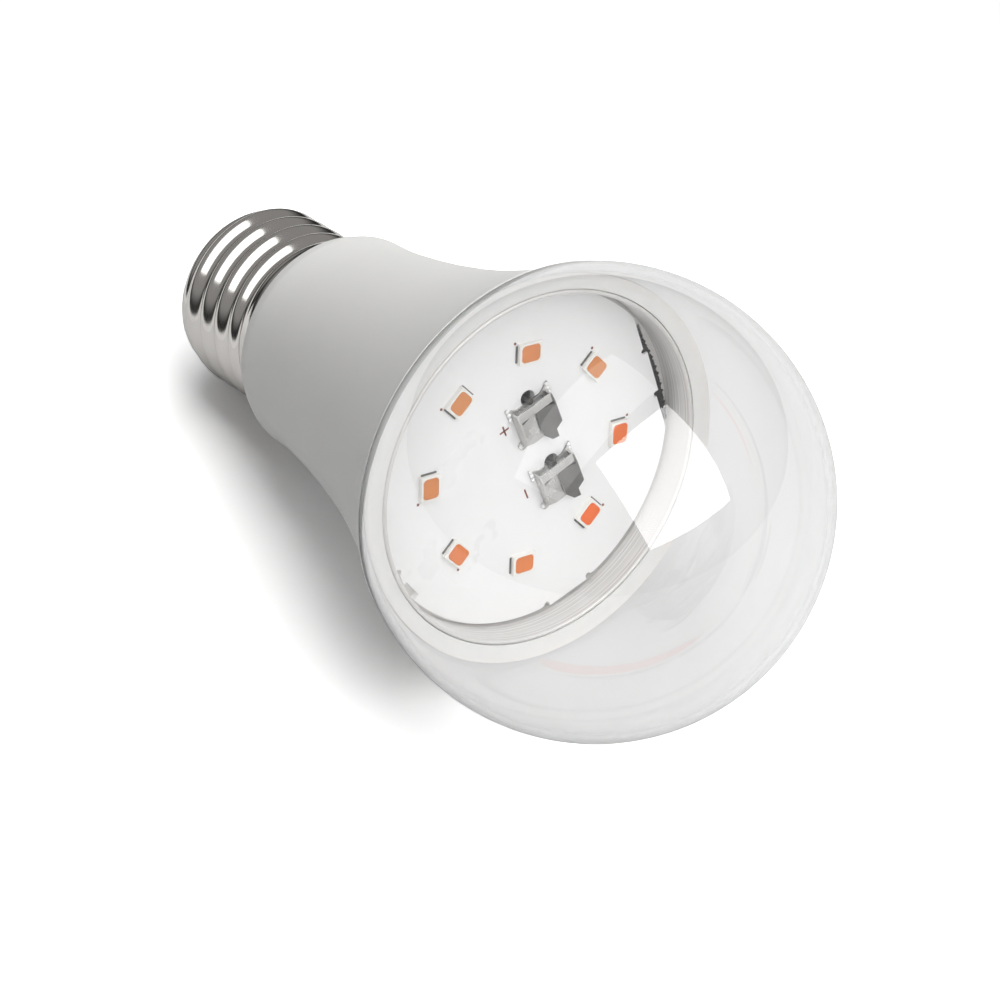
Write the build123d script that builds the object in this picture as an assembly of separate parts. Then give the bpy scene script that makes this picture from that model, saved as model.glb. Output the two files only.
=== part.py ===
from build123d import *
import os
from math import cos, sin, sqrt, tau

# Grow light bulb: screw cap below, clear globe above, lamp axis on +Z.
# The origin is the middle of the contact tip. Sizes are millimetres.

# Globe, whose centre stands this far above the housing's rim
GLOBE_RADIUS = 30.0
GLOBE_WALL = 1.2
GLOBE_RISE = 11.24
REBATE_DEPTH = 0.6
REBATE_HEIGHT = 2.3

# Housing, a flared plastic moulding, with heights above its bottom edge and drops below its rim
HOUSING_HEIGHT = 47.66
HOUSING_WALL = 1.1
BOTTOM_RADIUS = 15.2
FOOT_BULGE = 0.2
NECK_RADIUS = 15.75
NECK_HEIGHT = 1.9
NECK_LEAN = 0.03
WAIST_RADIUS = 16.1
WAIST_HEIGHT = 8.4
FLARE_RADIUS = 18.2
FLARE_DROP = 26.76
SHOULDER_RADIUS = 21.75
SHOULDER_DROP = 13.96
RIM_STEP = 0.085
RIM_LEAN = 0.61
FLOOR_THICKNESS = 1.8
SPIGOT_WALL = 1.3
SPIGOT_GAP = 1.6
RAIL_WIDTH = 3.2
RAIL_DEPTH = 1.6
RAIL_HEIGHT = 14.0

# Aluminium heat sink cup under the LED board
CUP_SHEET = 0.6
CUP_PLATE = 1.0
CUP_SKIRT = 24.0
CUP_OPENING_RADIUS = 10.0
CUP_SLOT_ANGLE = -90.0
CUP_SLOT_LENGTH = 15.0
CUP_SLOT_WIDTH = 2.0
LIP_HEIGHT = 0.8
LIP_SETBACK = 3.5

# LED board
BOARD_THICKNESS = 1.0
BOARD_GAP = 0.5
BOARD_DEPTH = 3.56
FLAT_ANGLES = (-2.5, 87.5, 177.5, 267.5)
FLAT_DEPTHS = (1.2, 1.2, 0.5, 1.9)
STUB_WIDTH = 6.4
STUB_HEIGHT = 0.5
BITE_RADIUS = 0.4
KEY_SLOT_ANGLE = 106.0
KEY_SLOT_WIDTH = 3.0
KEY_SLOT_DEPTH = 1.0

# LEDs, eight in a ring
LED_COUNT = 8
LED_RING_RADIUS = 15.0
LED_FIRST_ANGLE = 22.5
LED_LENGTH = 3.5
LED_WIDTH = 2.8
LED_HEIGHT = 0.7
PHOSPHOR_LENGTH = 2.8
PHOSPHOR_WIDTH = 2.3
PHOSPHOR_DEPTH = 0.25
PHOSPHOR_CORNER = 0.55
POCKET_GAP = 0.03

# Folded sheet terminals that grip the driver pins, with the pin end towards +X
TERMINAL_SHEET = 0.25
TERMINAL_WIDTH = 5.8
TERMINAL_HEIGHT = 1.75
TERMINAL_ROW = -3.2
PLUS_PLACE = 4.4
MINUS_PLACE = -5.9
BASE_FRONT = 3.0
BASE_BACK = 2.6
NOSE_REACH = 0.5
NOSE_WIDTH = 2.4
EAR_REACH = 1.0
EAR_STEP = 0.6
EAR_LENGTH = 1.9
FOOT_RADIUS = 0.62
WINDOW_BACK = 1.4
WINDOW_BAR = 0.6
WINDOW_WIDTH = 4.4
WALL_BACK = 1.5
WALL_SLOPE = 1.1
STRAP_LENGTH = 1.2
STRAP_DROP = 0.25
LEAF_BACK = 1.75
LEAF_FRONT = 1.5
LEAF_GAP = 0.3
LEAF_DROP = 0.9
LEAF_BITE = 2.15
LEAF_BITE_PLACE = (-2.7, 2.4)
LEAF_TIP = 2.3
TONGUE_REACH = 3.6
TONGUE_INNER = 1.0
TONGUE_OUTER = 1.9
TONGUE_NECK = 2.4
BEAD_RADIUS = 0.3
BEAD_GAP = 0.03
BEAD_SPACING = 0.65
BEADS_IN_ROW = 3

# Driver pins
PIN_DIAMETER = 0.9
PIN_HOLE_DIAMETER = 2.2
PIN_STAND = 0.9
PLUS_REACH = 3.4
MINUS_REACH = 2.9
HOLE_SIDE = 0.2
PIN_NOTCH = 0.75

# Driver board and what it carries, with places across it and above the housing's floor
DRIVER_THICKNESS = 1.2
DRIVER_WIDTH = 25.0
DRIVER_TAIL_GAP = 1.95
DRIVER_SETBACK = 7.2
TAIL_SETBACK = 4.4
CAPACITOR_DIAMETER = 8.0
CAPACITOR_LENGTH = 12.0
CAPACITOR_PLACE = (-6.0, 9.1)
FILM_BOX = (9.0, 6.5, 4.5)
FILM_PLACE = (5.5, 6.1)
CORE_DIAMETER = 9.0
CORE_HEIGHT = 9.5
CORE_PLACE = (4.0, 19.1)
FLANGE_THICKNESS = 1.4
WINDING_DIAMETER = 8.0
HUB_DIAMETER = 4.0
BRIDGE_BOX = (6.2, 2.4, 4.6)
BRIDGE_PLACE = (-5.0, 18.1)
CHIP_BOX = (5.0, 1.6, 4.0)
CHIP_PLACE = (5.0, 18.1)
FUSE_DIAMETER = 3.0
FUSE_LENGTH = 8.0
FUSE_PLACE = (3.0, -5.9)
WIRE_DIAMETER = 0.9
WIRE_BEND = 1.0
WIRE_STRAIGHT = 2.6
NEUTRAL_PLACE = -5.5

# Screw cap: rolled shell, insulator and contact
THREAD_PITCH = 3.629
CREST_RADIUS = 13.1
ROOT_RADIUS = 12.15
SHELL_SHEET = 0.3
THREAD_START = 5.6
THREAD_LENGTH = 16.4
SKIRT_HEIGHT = 3.1
THREAD_FADE = 2.6
THREAD_LEAD_IN = 1.2
MOUTH_RADIUS = 12.45
SKIRT_RADIUS = 13.15
CURL_RADIUS = 10.8
CURL_HEIGHT = 4.2
CURL_BULGE = 0.5
INSULATOR_WALL = 2.2
INSULATOR_RISE = 1.4
CONTACT_RADIUS = 4.8
CONTACT_THICKNESS = 1.2
CONTACT_ROUND = 0.7
CONTACT_PIN_RADIUS = 1.2
CONTACT_PIN_HEIGHT = 4.8

# Clearance between nested pieces
FIT = 0.1

# Heights and radii that follow from the sizes above
THREAD_END = THREAD_START + THREAD_LENGTH
HOUSING_BOTTOM = THREAD_END + SKIRT_HEIGHT
RIM_HEIGHT = HOUSING_BOTTOM + HOUSING_HEIGHT
FLARE_HEIGHT = HOUSING_HEIGHT - FLARE_DROP
SHOULDER_HEIGHT = HOUSING_HEIGHT - SHOULDER_DROP
GLOBE_CENTRE_HEIGHT = RIM_HEIGHT + GLOBE_RISE
GLOBE_RIM_RADIUS = sqrt(GLOBE_RADIUS ** 2 - GLOBE_RISE ** 2)
RIM_RADIUS = GLOBE_RIM_RADIUS + RIM_STEP
CUP_OUTER_RADIUS = RIM_RADIUS - LIP_SETBACK
CUP_BORE_RADIUS = CUP_OUTER_RADIUS - CUP_SHEET
CUP_TOP = RIM_HEIGHT + LIP_HEIGHT
BOARD_RADIUS = CUP_BORE_RADIUS - BOARD_GAP
BOARD_TOP = RIM_HEIGHT - BOARD_DEPTH
PLATE_TOP = BOARD_TOP - BOARD_THICKNESS
INSULATOR_TOP = THREAD_START + INSULATOR_RISE
CONTACT_PIN_TOP = CONTACT_THICKNESS + CONTACT_PIN_HEIGHT
SPIGOT_BOTTOM = INSULATOR_TOP + SPIGOT_GAP
SPIGOT_RADIUS = ROOT_RADIUS - SHELL_SHEET - FIT
SPIGOT_BORE = SPIGOT_RADIUS - SPIGOT_WALL
FLOOR_TOP = HOUSING_BOTTOM + FLOOR_THICKNESS
LEDGE_HEIGHT = RIM_HEIGHT - REBATE_HEIGHT - FIT
DRIVER_TOP = PLATE_TOP - CUP_PLATE - DRIVER_SETBACK
DRIVER_BOTTOM = SPIGOT_BOTTOM + TAIL_SETBACK
DRIVER_FRONT = TERMINAL_ROW + DRIVER_THICKNESS / 2
DRIVER_BACK = TERMINAL_ROW - DRIVER_THICKNESS / 2
NODES = {}


def on_ball(radius, height):
    """Point of a ball of this radius, centred in the globe, at a height."""
    return (sqrt(radius ** 2 - (GLOBE_CENTRE_HEIGHT - height) ** 2), height)


def ball_arc(radius, low, high):
    """Arc of a ball's section from one height up to another."""
    middle = (low + high) / 2
    return ThreePointArc(on_ball(radius, low), on_ball(radius, middle), on_ball(radius, high))


def turned(*edges):
    """Solid turned about the lamp axis from edges drawn as radius and height."""
    return revolve(Plane.XZ * Face(Wire(edges)), Axis.Z, 360)


def turned_outline(*points):
    """Solid turned from a straight-sided section."""
    return turned(*Polyline(*points, close=True).edges())


def tube(outer, inner, low, high):
    """Plain tube on the lamp axis."""
    return turned_outline((inner, low), (outer, low), (outer, high), (inner, high))


def rod(radius, low, high):
    """Plain cylinder on the lamp axis."""
    return Pos(0, 0, low) * Cylinder(radius, high - low, align=(Align.CENTER, Align.CENTER, Align.MIN))


def block(size, place):
    """Box of a size that stands on a place."""
    return Pos(*place) * Box(*size, align=(Align.CENTER, Align.CENTER, Align.MIN))


def flare_solid(inset):
    """Everything inside the housing's flared side, moved in by an inset."""
    low = HOUSING_BOTTOM + NECK_HEIGHT
    side = Spline(
        (NECK_RADIUS - inset, low),
        (WAIST_RADIUS - inset, HOUSING_BOTTOM + WAIST_HEIGHT),
        (FLARE_RADIUS - inset, HOUSING_BOTTOM + FLARE_HEIGHT),
        (SHOULDER_RADIUS - inset, HOUSING_BOTTOM + SHOULDER_HEIGHT),
        (RIM_RADIUS - inset, RIM_HEIGHT),
        tangents=[(NECK_LEAN, 1), (RIM_LEAN, 1)],
    )
    return turned(
        side,
        Line((RIM_RADIUS - inset, RIM_HEIGHT), (0, RIM_HEIGHT)),
        Line((0, RIM_HEIGHT), (0, low)),
        Line((0, low), (NECK_RADIUS - inset, low)),
    )


def flare_core(inset, radius, low, high):
    """The flared form cut off at a height below and held to a bore above."""
    flared = flare_solid(inset) & rod(radius, low, RIM_HEIGHT)
    return flared + rod(radius, LEDGE_HEIGHT, high)


def ball(radius):
    """Ball centred in the globe."""
    return Pos(0, 0, GLOBE_CENTRE_HEIGHT) * Sphere(radius)


def globe():
    """Clear globe, with its edge thinned to drop inside the housing rim."""
    top = GLOBE_CENTRE_HEIGHT + GLOBE_RADIUS
    edge = RIM_HEIGHT - REBATE_HEIGHT
    outside = ball(GLOBE_RADIUS) & rod(GLOBE_RADIUS, RIM_HEIGHT, top)
    thinned = ball(GLOBE_RADIUS - REBATE_DEPTH) & rod(GLOBE_RADIUS, edge, RIM_HEIGHT)
    return outside + thinned - ball(GLOBE_RADIUS - GLOBE_WALL)


def globe_seal():
    """Silicone bead between the cup's lip and the inside of the globe."""
    outer = GLOBE_RADIUS - GLOBE_WALL - FIT
    inner = CUP_OUTER_RADIUS + FIT
    low = LEDGE_HEIGHT
    high = RIM_HEIGHT + LIP_HEIGHT / 2
    shoulder = CUP_TOP - FIT
    crown = ((inner + on_ball(outer, high)[0]) / 2, CUP_TOP - FIT / 2)
    return turned(
        Line((inner, shoulder), (inner, low)),
        Line((inner, low), on_ball(outer, low)),
        ball_arc(outer, low, high),
        ThreePointArc(on_ball(outer, high), crown, (inner, shoulder)),
    )


def housing():
    """White moulding: spigot for the cap, floor, flared wall and socket for the globe."""
    socket = GLOBE_RADIUS - REBATE_DEPTH + FIT
    neck = HOUSING_BOTTOM + NECK_HEIGHT
    foot = turned(
        Line((0, HOUSING_BOTTOM), (BOTTOM_RADIUS, HOUSING_BOTTOM)),
        SagittaArc((BOTTOM_RADIUS, HOUSING_BOTTOM), (NECK_RADIUS, neck), -FOOT_BULGE),
        Line((NECK_RADIUS, neck), (0, neck)),
        Line((0, neck), (0, HOUSING_BOTTOM)),
    )
    socket_space = turned(
        ball_arc(socket, LEDGE_HEIGHT, RIM_HEIGHT),
        Line(on_ball(socket, RIM_HEIGHT), (0, RIM_HEIGHT)),
        Line((0, RIM_HEIGHT), (0, LEDGE_HEIGHT)),
        Line((0, LEDGE_HEIGHT), on_ball(socket, LEDGE_HEIGHT)),
    )
    bore = CUP_OUTER_RADIUS + FIT
    neck_bore = rod(NECK_RADIUS - HOUSING_WALL, FLOOR_TOP, neck)
    hollow = flare_core(HOUSING_WALL, bore, neck, RIM_HEIGHT) + neck_bore
    rails = driver_rails() & hollow
    shell = foot + flare_solid(0) - socket_space - hollow - rod(SPIGOT_BORE, HOUSING_BOTTOM, FLOOR_TOP)
    return shell + tube(SPIGOT_RADIUS, SPIGOT_BORE, SPIGOT_BOTTOM, HOUSING_BOTTOM) + rails


def driver_rails():
    """Two slotted rails that hold the edges of the driver board."""
    slot = DRIVER_THICKNESS + 2 * FIT
    inner = DRIVER_WIDTH / 2 - RAIL_DEPTH
    bar = block((4 * RIM_RADIUS, RAIL_WIDTH, RAIL_HEIGHT), (0, TERMINAL_ROW, FLOOR_TOP))
    middle = block((2 * inner, RAIL_WIDTH, RAIL_HEIGHT), (0, TERMINAL_ROW, FLOOR_TOP))
    groove = block((DRIVER_WIDTH + 2 * FIT, slot, RAIL_HEIGHT), (0, TERMINAL_ROW, FLOOR_TOP))
    return bar - middle - groove


def heat_sink_cup():
    """Pressed aluminium cup: skirt on the housing, upstanding lip, plate with a slot under one board flat."""
    inset = HOUSING_WALL + FIT
    low = PLATE_TOP - CUP_SKIRT
    outside = flare_core(inset, CUP_OUTER_RADIUS, low, CUP_TOP)
    inside = flare_core(inset + CUP_SHEET, CUP_BORE_RADIUS, low, CUP_TOP)
    plate = outside & tube(CUP_OUTER_RADIUS, CUP_OPENING_RADIUS, PLATE_TOP - CUP_PLATE, PLATE_TOP)
    slot_size = (CUP_SLOT_WIDTH, CUP_SLOT_LENGTH, CUP_PLATE)
    slot_place = (BOARD_RADIUS - CUP_SLOT_WIDTH / 2, 0, PLATE_TOP - CUP_PLATE)
    return outside - inside + (plate - Rot(0, 0, CUP_SLOT_ANGLE) * block(slot_size, slot_place))


def led_board():
    """White aluminium-core disc with break-off flats, a key slot and two pin holes."""
    board = rod(BOARD_RADIUS, PLATE_TOP, BOARD_TOP)
    thick = BOARD_THICKNESS
    for angle, depth in zip(FLAT_ANGLES, FLAT_DEPTHS):
        flat_line = BOARD_RADIUS - depth
        turn = Rot(0, 0, angle)
        beyond = (flat_line + BOARD_RADIUS / 2, 0, PLATE_TOP)
        board -= turn * block((BOARD_RADIUS, 2 * BOARD_RADIUS, thick), beyond)
        stub_place = (flat_line + (STUB_HEIGHT - BITE_RADIUS) / 2, 0, PLATE_TOP)
        board += turn * block((STUB_HEIGHT + BITE_RADIUS, STUB_WIDTH, thick), stub_place)
        for side in (-1, 1):
            bite_place = (flat_line, side * (STUB_WIDTH / 2 + BITE_RADIUS), 0)
            board -= turn * Pos(*bite_place) * rod(BITE_RADIUS, PLATE_TOP, BOARD_TOP)
    slot_place = (BOARD_RADIUS - KEY_SLOT_DEPTH / 2, 0, PLATE_TOP)
    slot_turn = Rot(0, 0, KEY_SLOT_ANGLE)
    board -= slot_turn * block((KEY_SLOT_DEPTH + FIT, KEY_SLOT_WIDTH, thick), slot_place)
    for place, reach in ((PLUS_PLACE, PLUS_REACH), (MINUS_PLACE, MINUS_REACH)):
        hole_place = (place + reach, TERMINAL_ROW - HOLE_SIDE, 0)
        board -= Pos(*hole_place) * rod(PIN_HOLE_DIAMETER / 2, PLATE_TOP, BOARD_TOP)
    return board


def rounded_pad(length, width, corner, low, height):
    """Rounded rectangle, long along Y, raised from a height."""
    return Pos(0, 0, low) * extrude(RectangleRounded(width, length, corner), height)


def led_body():
    """White LED package with a shallow pocket, at the middle of the ring."""
    pocket_floor = BOARD_TOP + LED_HEIGHT - PHOSPHOR_DEPTH
    package = block((LED_WIDTH, LED_LENGTH, LED_HEIGHT), (0, 0, BOARD_TOP))
    pocket = rounded_pad(
        PHOSPHOR_LENGTH + 2 * POCKET_GAP,
        PHOSPHOR_WIDTH + 2 * POCKET_GAP,
        PHOSPHOR_CORNER + POCKET_GAP,
        pocket_floor,
        PHOSPHOR_DEPTH,
    )
    return package - pocket


def led_phosphor():
    """Orange phosphor fill that sits in the package's pocket."""
    pocket_floor = BOARD_TOP + LED_HEIGHT - PHOSPHOR_DEPTH
    depth = PHOSPHOR_DEPTH - POCKET_GAP
    return rounded_pad(PHOSPHOR_LENGTH, PHOSPHOR_WIDTH, PHOSPHOR_CORNER, pocket_floor, depth)


def flat_sheet(*points):
    """Sheet metal plate, one sheet thick, lying on the board."""
    return extrude(make_face(Polyline(*points, close=True)), TERMINAL_SHEET)


def terminal_base():
    """Bottom plate: a window, a nose at the back, two round feet and two pointed ears."""
    half = TERMINAL_WIDTH / 2
    nose = BASE_BACK + NOSE_REACH
    base = flat_sheet(
        (BASE_FRONT, half), (-BASE_BACK, half), (-nose, NOSE_WIDTH / 2),
        (-nose, -NOSE_WIDTH / 2), (-BASE_BACK, -half), (BASE_FRONT, -half),
    )
    bar_front = BASE_FRONT - WINDOW_BAR
    base -= block(
        (bar_front + WINDOW_BACK, WINDOW_WIDTH, TERMINAL_SHEET),
        ((bar_front - WINDOW_BACK) / 2, 0, 0),
    )
    for side in (-1, 1):
        rim = side * (half + EAR_STEP)
        tip = BASE_FRONT + EAR_REACH
        base += flat_sheet(
            (BASE_FRONT, side * (half - EAR_REACH)), (tip, rim),
            (tip - EAR_LENGTH, rim), (tip - EAR_LENGTH, side * (half - EAR_STEP)),
        )
        base += Pos(FOOT_RADIUS / 2 - BASE_BACK, side * half, 0) * rod(FOOT_RADIUS, 0, TERMINAL_SHEET)
    return base


def leaf_height(across):
    """Height of a leaf's upper face at a distance across the clip from its middle."""
    half = TERMINAL_WIDTH / 2
    inner = LEAF_GAP / 2
    return TERMINAL_HEIGHT - LEAF_DROP * (half - across) / (half - inner)


def spring_leaf(side):
    """Sheet of a leaf: it slopes from the top of a side wall down to the middle of the clip."""
    outer = TERMINAL_WIDTH / 2
    inner = LEAF_GAP / 2
    sheet = TERMINAL_SHEET
    section = Polyline(
        (side * outer, leaf_height(outer)), (side * inner, leaf_height(inner)),
        (side * inner, leaf_height(inner) - sheet), (side * outer, leaf_height(outer) - sheet), close=True,
    )
    return Pos(-TONGUE_REACH, 0, 0) * extrude(Plane.YZ * make_face(section), TONGUE_REACH + LEAF_FRONT)


def leaf_plan(*points):
    """Upright prism that cuts a leaf to its outline, seen from above."""
    return extrude(make_face(Polyline(*points, close=True)), TERMINAL_HEIGHT)


def terminal(pin_reach):
    """Folded clip: base, two side walls, a strap at the pin end and two spring leaves."""
    sheet = TERMINAL_SHEET
    half = TERMINAL_WIDTH / 2
    strap_top = TERMINAL_HEIGHT - STRAP_DROP
    wall_outline = Polyline(
        (-WALL_BACK - WALL_SLOPE, 0), (BASE_FRONT, 0), (BASE_FRONT, strap_top),
        (BASE_FRONT - STRAP_LENGTH, TERMINAL_HEIGHT), (-WALL_BACK, TERMINAL_HEIGHT), close=True,
    )
    wall = extrude(Plane.XZ * make_face(wall_outline), sheet)
    clip = terminal_base() - Pos(pin_reach, 0, 0) * rod(PIN_NOTCH, 0, sheet)
    for side in (-1, 1):
        clip += Pos(0, side * (half - sheet / 2) + sheet / 2, 0) * wall
    strap_place = (BASE_FRONT - STRAP_LENGTH / 2, 0, strap_top - sheet)
    clip += block((STRAP_LENGTH, TERMINAL_WIDTH, sheet), strap_place)
    bitten = leaf_plan((-LEAF_BACK, 0), (LEAF_FRONT, 0), (LEAF_FRONT, half), (-LEAF_BACK, half))
    clip += spring_leaf(1) & (bitten - Pos(*LEAF_BITE_PLACE) * rod(LEAF_BITE, 0, TERMINAL_HEIGHT))
    pointed = leaf_plan(
        (LEAF_FRONT, 0), (-LEAF_TIP, 0), (-TONGUE_REACH, -TONGUE_INNER), (-TONGUE_REACH, -TONGUE_OUTER),
        (-TONGUE_NECK, -TONGUE_OUTER), (-WALL_BACK, -half), (LEAF_FRONT, -half),
    )
    return clip + (spring_leaf(-1) & pointed)


def solder_beads():
    """Solder beads outside the walls of both clips: a row on each ear and one on each foot."""
    bead = rod(BEAD_RADIUS * 2, 0, BEAD_RADIUS) & (Pos(0, 0, -BEAD_RADIUS / 4) * Sphere(BEAD_RADIUS))
    beads = []
    beside = TERMINAL_WIDTH / 2 + BEAD_RADIUS + BEAD_GAP
    row_front = BASE_FRONT + EAR_REACH - BEAD_RADIUS
    spots = [row_front - BEAD_SPACING * number for number in range(BEADS_IN_ROW)]
    spots.append(FOOT_RADIUS / 2 - BASE_BACK)
    for place in (PLUS_PLACE, MINUS_PLACE):
        for side in (-1, 1):
            for spot in spots:
                middle = (place + spot, TERMINAL_ROW + side * beside, BOARD_TOP + TERMINAL_SHEET)
                beads.append(Pos(*middle) * bead)
    return beads


def driver_board():
    """Driver board that stands on the housing floor with its tail in the spigot."""
    body = block((DRIVER_WIDTH, DRIVER_THICKNESS, DRIVER_TOP - FLOOR_TOP), (0, TERMINAL_ROW, FLOOR_TOP))
    tail_height = FLOOR_TOP - DRIVER_BOTTOM
    tail_width = 2 * (SPIGOT_BORE - DRIVER_TAIL_GAP)
    return body + block((tail_width, DRIVER_THICKNESS, tail_height), (0, TERMINAL_ROW, DRIVER_BOTTOM))


def on_front(shape, place):
    """Stand a shape drawn along +Z on the front of the driver board."""
    return Pos(place[0], DRIVER_FRONT, FLOOR_TOP + place[1]) * Rot(-90, 0, 0) * shape


def on_board_face(size, place, face, direction):
    """Box soldered flat on one face of the driver board."""
    middle = face + direction * size[1] / 2
    return Pos(place[0], middle, FLOOR_TOP + place[1]) * Box(*size)


def spool_core():
    """Ferrite drum core with two flanges."""
    flange = rod(CORE_DIAMETER / 2, 0, FLANGE_THICKNESS)
    hub = rod(HUB_DIAMETER / 2, 0, CORE_HEIGHT)
    return flange + hub + Pos(0, 0, CORE_HEIGHT - FLANGE_THICKNESS) * flange


def winding():
    """Copper winding between the flanges of the drum core."""
    bore = HUB_DIAMETER / 2 + FIT
    return tube(WINDING_DIAMETER / 2, bore, FLANGE_THICKNESS, CORE_HEIGHT - FLANGE_THICKNESS)


def driver_pin(place):
    """Stiff pin from the driver board's top edge, up past the clip."""
    return Pos(place, TERMINAL_ROW, 0) * rod(PIN_DIAMETER / 2, DRIVER_TOP, BOARD_TOP + PIN_STAND)


def wire(*points):
    """Round wire along straight runs joined by bends."""
    path = FilletPolyline(*points, radius=WIRE_BEND)
    start = Plane(origin=path @ 0, z_dir=path % 0)
    return sweep(start * Circle(WIRE_DIAMETER / 2), path=path)


def live_lead():
    """Lead from the driver board to the pin of the tip contact."""
    low = CONTACT_PIN_TOP
    high = DRIVER_BOTTOM
    return wire(
        (0, TERMINAL_ROW, high),
        (0, TERMINAL_ROW, high - WIRE_STRAIGHT),
        (0, 0, low + WIRE_STRAIGHT),
        (0, 0, low),
    )


def neutral_lead():
    """Lead from the driver board out under the spigot to the inside of the shell."""
    level = (SPIGOT_BOTTOM + INSULATOR_TOP) / 2
    end = ROOT_RADIUS - SHELL_SHEET - FIT
    drop = sqrt(NEUTRAL_PLACE ** 2 + TERMINAL_ROW ** 2)
    scale = end / drop
    return wire(
        (NEUTRAL_PLACE, TERMINAL_ROW, DRIVER_BOTTOM),
        (NEUTRAL_PLACE, TERMINAL_ROW, level),
        (NEUTRAL_PLACE * scale, TERMINAL_ROW * scale, level),
    )


def ease(share):
    """Smooth step from 0 to 1."""
    held = min(max(share, 0.0), 1.0)
    return held * held * (3 - 2 * held)


def thread_radius(turn, height):
    """Radius of the rolled shell after a share of a turn, at a height."""
    middle = (CREST_RADIUS + ROOT_RADIUS) / 2
    swing = (CREST_RADIUS - ROOT_RADIUS) / 2
    rolled = middle + swing * cos(tau * (height / THREAD_PITCH - turn))
    upper = ease((THREAD_END - height) / THREAD_FADE)
    lower = ease((height - THREAD_START) / THREAD_LEAD_IN)
    joined = rolled * upper + CREST_RADIUS * (1 - upper)
    return joined * lower + MOUTH_RADIUS * (1 - lower)


def thread_skin(inset):
    """One face of the rolled sheet, through points a few degrees and a fraction of a pitch apart."""
    around = 24
    per_pitch = 8
    surface_error = 0.005
    rows = round((THREAD_END - THREAD_START) / THREAD_PITCH * per_pitch)
    grid = []
    for column in range(around + 1):
        turn = column / around
        line = []
        for row in range(rows + 1):
            height = THREAD_START + (THREAD_END - THREAD_START) * row / rows
            radius = thread_radius(turn, height) - inset
            line.append(Vector(radius * cos(tau * turn), radius * sin(tau * turn), height))
        grid.append(line)
    return Face.make_surface_from_array_of_points(grid, tol=surface_error, min_deg=3, max_deg=5)


def edge_at(face, height):
    """The round edge of a rolled face at one of its ends."""
    near = 0.01
    ends = [edge for edge in face.edges() if edge.bounding_box().size.Z < near]
    return [edge for edge in ends if abs(edge.center().Z - height) < near]


def rolled_thread():
    """The threaded stretch of the cap shell, rolled from thin sheet so both faces wave."""
    outside = thread_skin(0)
    inside = thread_skin(SHELL_SHEET)
    faces = [outside, inside]
    for height in (THREAD_START, THREAD_END):
        faces.append(Face(Wire(edge_at(outside, height)), [Wire(edge_at(inside, height))]))
    return Solid(Shell(faces))


def cap_shell():
    """Screw shell: plain skirt, rolled thread and a mouth curled in under the insulator."""
    skirt = tube(SKIRT_RADIUS, SKIRT_RADIUS - SHELL_SHEET - FIT, THREAD_END, HOUSING_BOTTOM)
    outer = MOUTH_RADIUS + FIT / 2
    inner = MOUTH_RADIUS - SHELL_SHEET - FIT / 2
    low = CURL_HEIGHT
    curl = turned(
        Line((inner, THREAD_START), (outer, THREAD_START)),
        SagittaArc((outer, THREAD_START), (CURL_RADIUS, low), CURL_BULGE),
        Line((CURL_RADIUS, low), (CURL_RADIUS, low + SHELL_SHEET)),
        SagittaArc((CURL_RADIUS, low + SHELL_SHEET), (inner, THREAD_START), SHELL_SHEET / 2 - CURL_BULGE),
    )
    return rolled_thread() + skirt + curl


def cap_insulator():
    """Black moulded cone that holds the tip contact in the middle of the shell."""
    hole = CONTACT_PIN_RADIUS
    bottom = CONTACT_THICKNESS
    seat = CONTACT_RADIUS + 2 * FIT
    lip = CURL_RADIUS - FIT
    flange = MOUTH_RADIUS - SHELL_SHEET - 4 * FIT
    flange_low = THREAD_START + FIT
    return turned_outline(
        (hole, bottom),
        (seat, bottom),
        (lip, CURL_HEIGHT),
        (lip, flange_low),
        (flange, flange_low),
        (flange, INSULATOR_TOP),
        (lip - FIT, INSULATOR_TOP),
        (seat, bottom + INSULATOR_WALL),
        (hole, bottom + INSULATOR_WALL),
    )


def tip_contact():
    """Round contact button with a pin up through the insulator."""
    flat = CONTACT_RADIUS - CONTACT_ROUND
    corner = CONTACT_ROUND * (1 - sqrt(0.5))
    return turned(
        Line((0, 0), (flat, 0)),
        ThreePointArc((flat, 0), (CONTACT_RADIUS - corner, corner), (CONTACT_RADIUS, CONTACT_ROUND)),
        Line((CONTACT_RADIUS, CONTACT_ROUND), (CONTACT_RADIUS, CONTACT_THICKNESS)),
        Line((CONTACT_RADIUS, CONTACT_THICKNESS), (CONTACT_PIN_RADIUS, CONTACT_THICKNESS)),
        Line((CONTACT_PIN_RADIUS, CONTACT_THICKNESS), (CONTACT_PIN_RADIUS, CONTACT_PIN_TOP)),
        Line((CONTACT_PIN_RADIUS, CONTACT_PIN_TOP), (0, CONTACT_PIN_TOP)),
        Line((0, CONTACT_PIN_TOP), (0, 0)),
    )


NODES["globe"] = globe()
NODES["globe_seal"] = globe_seal()
NODES["housing"] = housing()
NODES["heat_sink_cup"] = heat_sink_cup()
NODES["led_board"] = led_board()

for number in range(LED_COUNT):
    angle = LED_FIRST_ANGLE + number * 360 / LED_COUNT
    seat = Rot(0, 0, angle) * Pos(LED_RING_RADIUS, 0, 0)
    NODES[f"led_body_{number + 1}"] = seat * led_body()
    NODES[f"led_phosphor_{number + 1}"] = seat * led_phosphor()

NODES["plus_terminal"] = Pos(PLUS_PLACE, TERMINAL_ROW, BOARD_TOP) * terminal(PLUS_REACH)
NODES["minus_terminal"] = Pos(MINUS_PLACE, TERMINAL_ROW, BOARD_TOP) * terminal(MINUS_REACH)
NODES["terminal_solder"] = Compound(children=solder_beads())
NODES["plus_pin"] = driver_pin(PLUS_PLACE + PLUS_REACH)
NODES["minus_pin"] = driver_pin(MINUS_PLACE + MINUS_REACH)

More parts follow.
